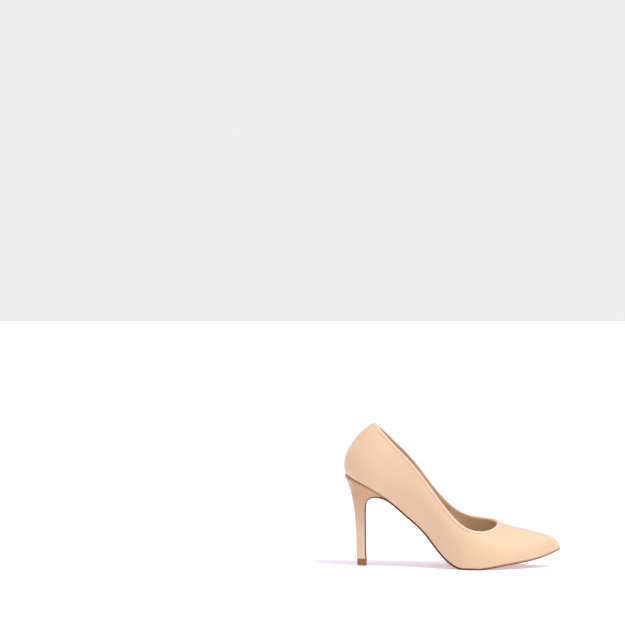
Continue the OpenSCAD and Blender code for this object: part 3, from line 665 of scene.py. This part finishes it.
HIDDEN_FINISHES = {
    "topline_tape": weave("tape_weave", paint(226, 218, 204), paint(196, 186, 170), 0.7),
    "toe_puff": suede("toe_puff_felt", paint(214, 200, 178), paint(188, 171, 146),
                      paint(228, 217, 200)),
    "heel_counter": suede("counter_felt", paint(201, 178, 150), paint(172, 148, 120),
                          paint(217, 198, 174)),
    "side_backer_outer": weave("backing_weave", paint(229, 221, 208), paint(201, 191, 176), 0.9),
    "side_backer_inner": weave("backing_weave_inner", paint(229, 221, 208),
                               paint(201, 191, 176), 0.9),
    "insole_board": fibre_board("insole_fibre", paint(183, 150, 114), paint(150, 118, 86),
                                paint(208, 180, 146)),
    "shank_board": fibre_board("shank_fibre", paint(160, 126, 92), paint(126, 96, 68),
                               paint(190, 158, 122)),
    "forepart_filler": cork("cork_filler", paint(178, 134, 90), paint(104, 70, 44),
                            paint(206, 168, 122)),
    "steel_shank": metal("spring_steel", (0.52, 0.53, 0.56, 1), (0.34, 0.33, 0.34, 1),
                         (0.12, 1, 1)),
    "shank_rivet": metal("rivet_steel", (0.62, 0.62, 0.63, 1), (0.42, 0.41, 0.4, 1),
                         (1, 1, 0.3)),
    "heel_core": moulded("heel_core_plastic", paint(214, 208, 196), paint(196, 189, 175),
                         (0.4, 0.56)),
    "heel_stem_tube": metal("tube_steel", (0.55, 0.56, 0.58, 1), (0.4, 0.4, 0.41, 1),
                            (1, 1, 0.08)),
    "heel_tip_pin": metal("pin_steel", (0.6, 0.6, 0.62, 1), (0.42, 0.42, 0.43, 1),
                          (1, 1, 0.08)),
    "heel_screw": metal("screw_steel", (0.64, 0.6, 0.5, 1), (0.46, 0.42, 0.34, 1),
                        (1, 1, 0.2)),
    "heel_nail": metal("nail_steel", (0.58, 0.58, 0.6, 1), (0.4, 0.4, 0.41, 1), (1, 1, 0.2)),
}
for node, material in HIDDEN_FINISHES.items():
    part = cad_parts[node]
    for slot in part.material_slots:
        slot.material = material
    if not part.material_slots:
        part.data.materials.append(material)

# ---- upper --------------------------------------------------------------------------------

WAIST_SEAM = 21
for name, start, end in (("Upper_main", 0, WAIST_SEAM), ("Upper_inner_quarter", WAIST_SEAM, N)):
    s = stations(start, end)
    piece = solid_layer(name, [NUDE], s, turned_layer(s, 0.0, UPPER, 0.5))
    stand_for(piece, "nude_leatherette", name.lower())

# ---- folded edge strip and its stitching --------------------------------------------------


def strip_profile():
    """Closed section of the folded strip: depth and height over the topline."""
    out, inner = -GAP - BINDING, WALL + GAP + BINDING
    middle, half = WALL / 2, WALL / 2 + GAP + BINDING
    outside = [(-GAP + 0.02, -BINDING_HEIGHT), (-GAP - 0.02, -BINDING_HEIGHT + 0.05),
               (-GAP - 0.09, -STITCH_DROP - 0.35), (-GAP - 0.03, -STITCH_DROP),
               (-GAP - 0.13, -STITCH_DROP + 0.35), (out + 0.05, -1.0), (out, -0.4)]
    arc = [(middle - half * math.cos(a), 0.85 * math.sin(a))
           for a in np.radians(np.linspace(0, 180, 15))]
    inside = [(inner + 0.02, -0.6), (inner + 0.03, -1.6), (inner, -BINDING_HEIGHT + 0.25),
              (inner - 0.08, -BINDING_HEIGHT + 0.03), (inner - 0.2, -BINDING_HEIGHT - 0.07),
              (inner - BINDING, -BINDING_HEIGHT)]
    core = [(middle + (half - BINDING) * math.cos(a), 0.5 * math.sin(a))
            for a in np.radians(np.linspace(0, 180, 9))]
    return np.array(outside + arc + inside + core)


ring = np.linspace(0, N, N * 16, endpoint=False)
section = strip_profile()
sheet = Sheet()
sheet.grid(over_edge(ring[:, None], section[None, :, 0], section[None, :, 1]),
           closed_i=True, closed_j=True)
# The strip's lighter tone is a painted highlight along the topline.
stand_for(sheet.build("Topline_binding", [EDGE_STRIP_PAINTED_HIGHLIGHT], 60), "edge_strip", "topline_binding")


def stitch_shape(length, radius, rings=9, sides=10):
    """A stitch lying along X, its ends dipping in along Y."""
    x = np.linspace(-1, 1, rings)
    size = radius * np.sqrt(np.clip(1 - np.abs(x) ** 4, 0.02, 1))
    dip = 1.1 * radius * np.abs(x) ** 3
    angle = np.linspace(0, 2 * np.pi, sides, endpoint=False)
    return np.stack([np.broadcast_to(x[:, None] * length / 2, (rings, sides)),
                     dip[:, None] + size[:, None] * np.cos(angle),
                     1.15 * size[:, None] * np.sin(angle)], -1)


def stitched(name, material, frames, length, radius):
    """Row of stitches; each frame is centre, along, inward."""
    sheet = Sheet()
    shape = stitch_shape(length, radius)
    for centre, run, inward in frames:
        rise = np.cross(run, inward)
        points = centre + shape @ np.stack([run, inward, rise])
        sheet.grid(points, closed_j=True)
        sheet.polygon(points[0])
        sheet.polygon(points[-1])
    return sheet.build(name, [material], 70, 0.0005)


def wall_frame(s, t, depth):
    s = np.array([float(s)])
    here = wall(s, t, depth)[0]
    inward = unit(wall(s, t, depth + 1)[0] - here)
    run = unit(wall(s + 0.02, t, depth)[0] - wall(s - 0.02, t, depth)[0])
    return here, unit(run - inward * np.dot(run, inward)), inward


fine = np.linspace(0, N, 4001)
edge_points = top_point(fine)
lengths = np.concatenate([[0], np.cumsum(np.linalg.norm(np.diff(edge_points, axis=0), axis=1))])
places = np.interp((np.arange(STITCHES) + 0.5) / STITCHES * lengths[-1], lengths, fine)
frames = [wall_frame(s, below_top(np.array([s]), STITCH_DROP), -GAP - BINDING - 0.02)
          for s in places]
stand_for(stitched("Topline_stitching", THREAD, frames, STITCH_LENGTH, 0.2), "thread",
          "topline_stitching")

# ---- lining -------------------------------------------------------------------------------

for name, start, end, material, slot in (
        ("Vamp_lining", 6, 20, LINING_SKIN, "lining"),
        ("Lining_quarter_outer", 3, 6, LINING_SKIN, "lining"),
        ("Lining_quarter_inner", 20, 23, LINING_SKIN, "lining"),
        ("Heel_grip", 23, N + 3, GRIP, "grip")):
    s = stations(start, end, 10)
    sides = turned_layer(s, LINING_DEPTH, LINING, 0.45, 1.2, 26)
    stand_for(solid_layer(name, [material], s, sides), slot, name.lower())

seam_stitches = []
for s in (6.07, 19.93, 3 - 0.07, 23 + 0.07):
    for t in np.linspace(0.12, 0.86, 17):
        here, _, inward = wall_frame(s, t, WALL + 0.02)
        up = unit(wall(np.array([s]), t + 0.02, WALL)[0] - wall(np.array([s]), t - 0.02, WALL)[0])
        seam_stitches.append((here, unit(up - inward * np.dot(up, inward)), -inward))
piece = stitched("Lining_seam_stitching", SEAM_THREAD, seam_stitches, 1.9, 0.16)
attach(piece, "root")

# ---- sock and foam ------------------------------------------------------------------------


def floor_edge(u, sign, inset):
    """Edge of a floor layer at stations u: sign +1 outer side, -1 inner side."""
    def point(extra, depth):
        s = np.mod(sign * u, N)
        flat = outline(s) - (inset + extra) * outline_out(s)
        return above_sole(flat, np.broadcast_to(depth, len(u)))
    return point


def floor_stations(start, end, count):
    """Stations from the heel end to the toe end, closer together at both ends."""
    q = np.linspace(0, 1, count)
    eased = q - 0.14 * np.sin(2 * np.pi * q)
    return start + (end - start) * eased


u = floor_stations(0.3, 12.2, 150)
profile = edge_profile(SOCK_DEPTH, SOCK_DEPTH + SOCK, 0.28)
piece = flat_piece("Insock", [SOCK_SKIN], floor_edge(u, 1, BOARD_INSET - 0.2),
                   floor_edge(u, -1, BOARD_INSET - 0.2), profile, 34, caps=(0, -1), crown=0.35)
stand_for(piece, "sock", "insock")
u = floor_stations(0.35, 12.05, 110)
profile = edge_profile(FOAM_DEPTH, FOAM_DEPTH + FOAM, 0.45)
piece = flat_piece("Insock_foam", [FOAM_FINISH], floor_edge(u, 1, BOARD_INSET + 0.6),
                   floor_edge(u, -1, BOARD_INSET + 0.6), profile, 16, caps=(0, -1))
stand_for(piece, "foam", "insock_foam")

# ---- outsole, its heel flap, and the rand -------------------------------------------------

OUTER = outline(np.linspace(2, 8, 60))
INNER = outline(N - np.linspace(2, 8, 60))
RUN_IN = np.array([[x, float(sole_line(np.array(x))),
                    np.interp(x, OUTER[:, 0], OUTER[:, 1]),
                    np.interp(x, INNER[:, 0], INNER[:, 1])] for x in (-50, -58, -65)])
BREAST = np.stack([HEEL[:, 2], HEEL[:, 3], 0.4 - HEEL[:, 4], HEEL[:, 4] - 0.4], 1)
FLAP = line_controls(np.vstack([RUN_IN, BREAST]))
FLAP_END = len(FLAP) - 3


TOE_THINNING = 0.7
FLAP_THINNING = [(0, 1), (3.6, 1), (5.5, 0.6), (99, 0.6)]


def flap_share(u):
    return np.interp(u, *zip(*FLAP_THINNING))


def flap_normal(u):
    d = line_point(FLAP, np.minimum(u + 0.1, FLAP_END)) - line_point(FLAP, np.maximum(u - 0.1, 0))
    d = unit(d[..., :2])
    return np.stack([d[..., 1], 0 * d[..., 0], -d[..., 0]], -1)


flap_u = np.linspace(FLAP_END, 1, 110)
floor_u = np.concatenate([np.linspace(4.5, 12.4, 150)[1:], np.array([
    12.5, 12.6, 12.68, 12.76, 12.83, 12.89, 12.94, 12.97, 12.99, 13.0])])


def sole_edge(sign):
    """Edge of the outsole from the heel tip up the breast and on to the toe."""
    floor = floor_edge(floor_u, sign, 0)
    toe_cut = TOE_THINNING * np.interp(outline(sign * floor_u)[:, 0], [80, 112], [0, 1])

    def point(extra, depth):
        row = line_point(FLAP, flap_u)
        y = row[:, 2] + extra if sign > 0 else row[:, 3] - extra
        flap = np.stack([row[:, 0], y, row[:, 1]], 1) \
            + depth * flap_share(flap_u)[:, None] * flap_normal(flap_u)
        left_over = 1 - depth / (SOLE - GAP)
        return np.concatenate([flap, floor(extra, depth + toe_cut * left_over)])
    return point


profile = edge_profile(0.0, SOLE - GAP, 0.42)
# The lower half of the edge takes the dark dye all round, which along the forepart is painted shadow under
# the sole; the upper half takes the band that pales along the forepart.
piece = flat_piece("Outsole", [SOLE_UNDER, SOLE_EDGE_DYE_AND_PAINTED_SHADE, SOLE_BAND], sole_edge(1), sole_edge(-1), profile, 26,
                   finish=(0, 1, 0, 2), caps=(0,))
stand_for(piece, "sole", "outsole")
flap_top = line_point(FLAP, np.linspace(3.8, 2, 19))[:, :2] \
    + (SOLE - GAP) * flap_normal(np.linspace(3.8, 2, 19))[:, [0, 2]]
flap_lift = (flap_top[:, 1] - sole_line(flap_top[:, 0])) * sole_up(flap_top[:, 0])[:, 2]
u = np.concatenate([[0, 0.01, 0.03, 0.06, 0.1, 0.16, 0.24], np.linspace(0.34, 3.78, 60)])
rand_low = np.maximum(SOLE - GAP - RAND,
                      np.interp(outline(u)[:, 0], flap_top[:, 0], flap_lift) + 2 * GAP)


def rand_edge(sign):
    """Edge of the rand; its front end tapers to fill the wedge over the sole."""
    edge = floor_edge(u, sign, 0)

    def point(extra, share):
        return edge(extra, rand_low + share * (SOLE - GAP - rand_low))
    return point


profile = [(i, d / RAND) for i, d in edge_profile(0, RAND, 0.3)]
piece = flat_piece("Rand_strip", [RAND_EDGE], rand_edge(1), rand_edge(-1), profile, 12, caps=(-1,))
stand_for(piece, "sole_edge", "seat_rand")

# ---- covered heel -------------------------------------------------------------------------

HEEL_CURVE = line_controls(HEEL)
HEEL_FRONT = -73
HEEL_TOP = SOLE - RAND - 2 * GAP
BACK = outline(np.linspace(0, 4, 80)), outline(N - np.linspace(0, 4, 80))


def heel_ring(q, inset):
    """Ring of the heel cover at level q, from its inner front edge round to its outer one."""
    row = line_point(HEEL_CURVE, np.array(float(q)))
    flap = np.array(3 + max(q, 0.45 + 0.2 * q))
    face, normal = line_point(FLAP, flap), flap_normal(flap)
    front = face[:2] + (SOLE * flap_share(flap) + GAP) * normal[[0, 2]]
    seat = above_sole(np.array([HEEL_FRONT, 0.0]), np.array(HEEL_TOP))[[0, 2]]
    near = max(0, 1 - q / 0.6) ** 2
    tip = (1 - near) * front + near * seat
    back = row[:2]
    blend = max(0, 1 - q / 1.5) ** 2
    run = unit(tip - back)
    angle = np.radians(np.linspace(90, -90, 73))
    share = 1 - np.cos(angle) ** (2 / 3.3)
    side = np.sin(angle)
    p = back + inset[:, None] * run + share[:, None] * (tip - back - inset[:, None] * run)
    seat_y = np.where(side < 0, np.interp(p[:, 0], BACK[0][:, 0], BACK[0][:, 1]),
                      np.interp(p[:, 0], BACK[1][:, 0], BACK[1][:, 1]))
    seat_y = seat_y - np.sign(side) * np.minimum(inset, np.abs(seat_y) * 0.5)
    seat_y = np.where(np.abs(side) < 1e-6, 0, seat_y)
    y = (1 - blend) * side * (row[4] - inset) + blend * seat_y
    over = above_sole(np.stack([p[:, 0], y], 1), np.full(len(p), HEEL_TOP))
    x = (1 - near) * p[:, 0] + near * over[:, 0]
    z = (1 - near) * p[:, 1] + near * over[:, 2]
    return np.stack([x, y, z], 1)


levels = np.concatenate([np.linspace(0, 1.5, 16)[:-1], np.linspace(1.5, 10.85, 100),
                         [10.9, 10.94, 10.97, 10.99, 11.0]])
down = (11 - levels) * 7.0
rings = []
for sign in (-1, 1):
    rows = []
    for q, distance in zip(levels, down):
        share = bulge(np.array(distance), 0.5)
        rows.append(heel_ring(q, np.full(73, COVER / 2 * (1 + sign * share))))
    rings.append(np.array(rows))
sheet = Sheet()
for skin in rings:
    sheet.grid(skin)
for j in (0, -1):
    sheet.grid(np.stack([rings[0][:, j], rings[1][:, j]], 1))
sheet.grid(np.stack([rings[0][0], rings[1][0]], 0))
stand_for(sheet.build("Heel_cover", [NUDE_HEEL], 60), "nude_leatherette", "heel_cover")

# ---- heel tip -----------------------------------------------------------------------------


def tip_outline(inset, count=48):
    """D shape: round at the back, square at the breast with small rounded corners."""
    r = TIP_RADIUS - inset
    turn = np.radians(np.linspace(90, 270, count))
    half = np.stack([TIP_RADIUS + r * np.cos(turn), r * np.sin(turn)], 1)
    front, soft = TIP_DEPTH - inset, 0.5
    bend = np.radians(np.linspace(-90, 0, 7))
    low = np.stack([front - soft + soft * np.cos(bend), -r + soft + soft * np.sin(bend)], 1)
    return np.concatenate([half, low, low[::-1] * [1, -1]])


tip_rings = []
for z, inset in ((0, 0.35), (0.1, 0.14), (0.3, 0), (4.6, 0), (4.72, 0.09), (4.9, 0.09),
                 (5.02, 0), (6.7, 0), (TIP_HEIGHT, 0.15)):
    flat = tip_outline(inset)
    tip_rings.append(np.column_stack([flat[:, 0] - 99.6, flat[:, 1], np.full(len(flat), z)]))
sheet = Sheet()
sheet.grid(np.array(tip_rings), closed_j=True)
sheet.polygon(tip_rings[0])
sheet.polygon(tip_rings[-1])
stand_for(sheet.build("Heel_tip", [TIP], 40), "tip", "heel_tip")

# ---- floor, light and camera --------------------------------------------------------------

floor_finish = Finish("studio_floor", Roughness=0.9, Specular_IOR_Level=0.1)
paper = floor_finish.noise(14, 2)
floor_finish.colour(floor_finish.blend(floor_finish.span(paper, 0, 1), (0.80, 0.79, 0.87, 1),
                                       (0.82, 0.81, 0.89, 1)))
floor_finish.shader.inputs["Emission Color"].default_value = (0.96, 0.93, 1, 1)
floor_finish.shader.inputs["Emission Strength"].default_value = 0.35
mesh = bpy.data.meshes.new("Floor")
mesh.from_pydata([(-30, -12, 0), (30, -12, 0), (30, 60, 0), (-30, 60, 0)], [], [(0, 1, 2, 3)])
mesh.materials.append(floor_finish.material)
floor = bpy.data.objects.new("Floor", mesh)
bpy.context.collection.objects.link(floor)
floor.location.z = -0.00005

world = bpy.data.worlds.new("Studio")
world.use_nodes = True
sky = world.node_tree
background = sky.nodes["Background"]
direction = sky.nodes.new("ShaderNodeTexCoord")
height = sky.nodes.new("ShaderNodeSeparateXYZ")
fade = sky.nodes.new("ShaderNodeValToRGB")
fade.color_ramp.elements[0].position = 0.16
fade.color_ramp.elements[0].color = (1, 1, 1, 1)
fade.color_ramp.elements[1].position = 0.4
fade.color_ramp.elements[1].color = (0.42, 0.40, 0.46, 1)
sky.links.new(direction.outputs["Generated"], height.inputs["Vector"])
sky.links.new(height.outputs["Z"], fade.inputs["Fac"])
sky.links.new(fade.outputs["Color"], background.inputs["Color"])
background.inputs["Strength"].default_value = 0.85
bpy.context.scene.world = world


def studio_light(name, direction, power, softness, colour=(1, 1, 1)):
    """Wide, distant studio light: it shines along `direction` with soft-edged shadows."""
    data = bpy.data.lights.new(name, "SUN")
    data.energy = power
    data.angle = math.radians(softness)
    data.color = colour
    lamp = bpy.data.objects.new(name, data)
    lamp.rotation_euler = Vector(direction).to_track_quat("-Z", "Y").to_euler()
    bpy.context.collection.objects.link(lamp)


studio_light("Key", (-0.65, 0.42, -1.5), 2.3, 18, (1, 0.985, 0.95))
studio_light("Top", (0.1, -0.1, -1.0), 0.8, 60)

camera_data = bpy.data.cameras.new("Camera")
camera_data.lens = 120.7
camera_data.sensor_width = 36
camera_data.clip_end = 200
camera = bpy.data.objects.new("Camera", camera_data)
camera.location = (0, -2.198, 0.2653)
camera.rotation_euler = (math.radians(90), 0, math.radians(3.815))
bpy.context.collection.objects.link(camera)
bpy.context.scene.camera = camera
bpy.context.scene.view_settings.view_transform = "Standard"
